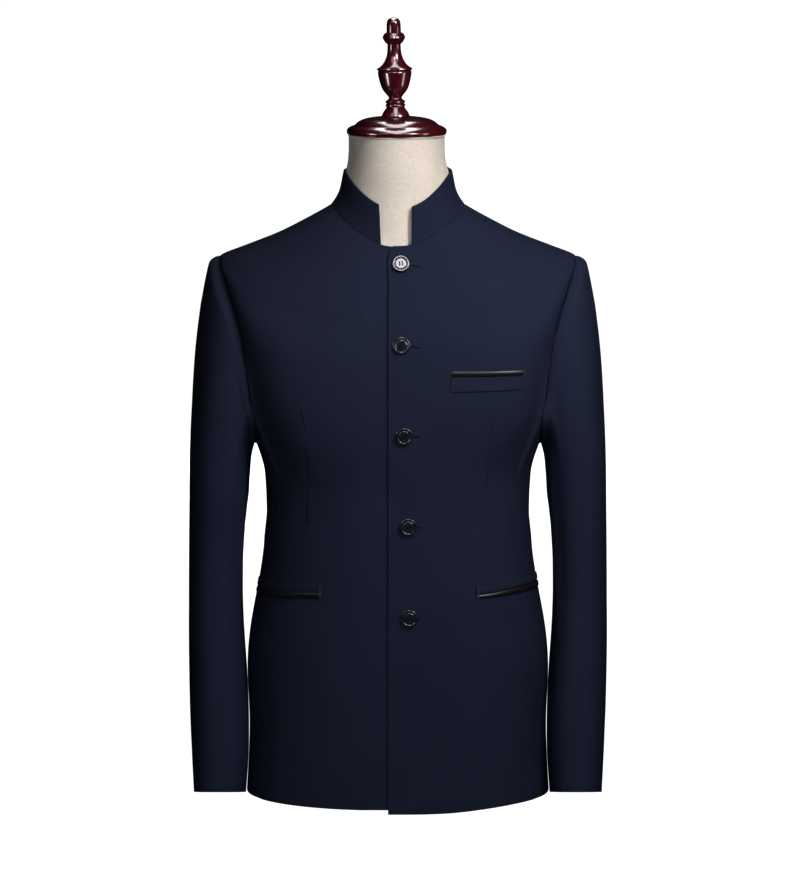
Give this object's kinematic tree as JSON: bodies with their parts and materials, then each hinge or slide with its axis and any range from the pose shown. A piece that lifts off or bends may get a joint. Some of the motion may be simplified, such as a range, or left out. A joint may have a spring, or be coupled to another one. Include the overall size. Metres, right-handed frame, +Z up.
{
  "type": "zhongshan suit jacket on a limbless dress form",
  "caption": "Stand-collar tunic jacket in smooth navy suiting, buttoned down the front, on a plain limbless dress form with a turned wooden cap and finial.",
  "frame": {"origin": "middle of the underside of the dress form's base board, on the surface that the form stands on", "axes": "+Z up, -Y the way the wearer faces, +X the wearer's left"},
  "size_m": [0.5028, 0.2403, 0.9428],
  "materials": {
    "suiting": "smooth worsted suiting, fine twill, faint sheen",
    "satin": "black satin piping with a soft gloss",
    "button": "polished dark resin",
    "linen": "cream linen cover, plain weave",
    "wood": "turned wood under deep red mahogany lacquer, high gloss"
  },
  "bodies": {
    "root": {"front_left": "suiting", "side_panel_left": "suiting", "back_left": "suiting", "top_sleeve_left": "suiting", "under_sleeve_left": "suiting", "pocket_jet_left": "suiting", "pocket_piping_left": "satin", "front_right": "suiting", "side_panel_right": "suiting", "back_right": "suiting", "top_sleeve_right": "suiting", "under_sleeve_right": "suiting", "pocket_jet_right": "suiting", "pocket_piping_right": "satin", "collar": "suiting", "chest_welt": "suiting", "chest_piping": "satin", "button_1": "button", "button_2": "button", "button_3": "button", "button_4": "button", "button_5": "button", "form_torso": "linen", "neck_rim": "linen", "base_board": "wood", "cap": "wood", "finial": "wood"}
  },
  "joints": []
}
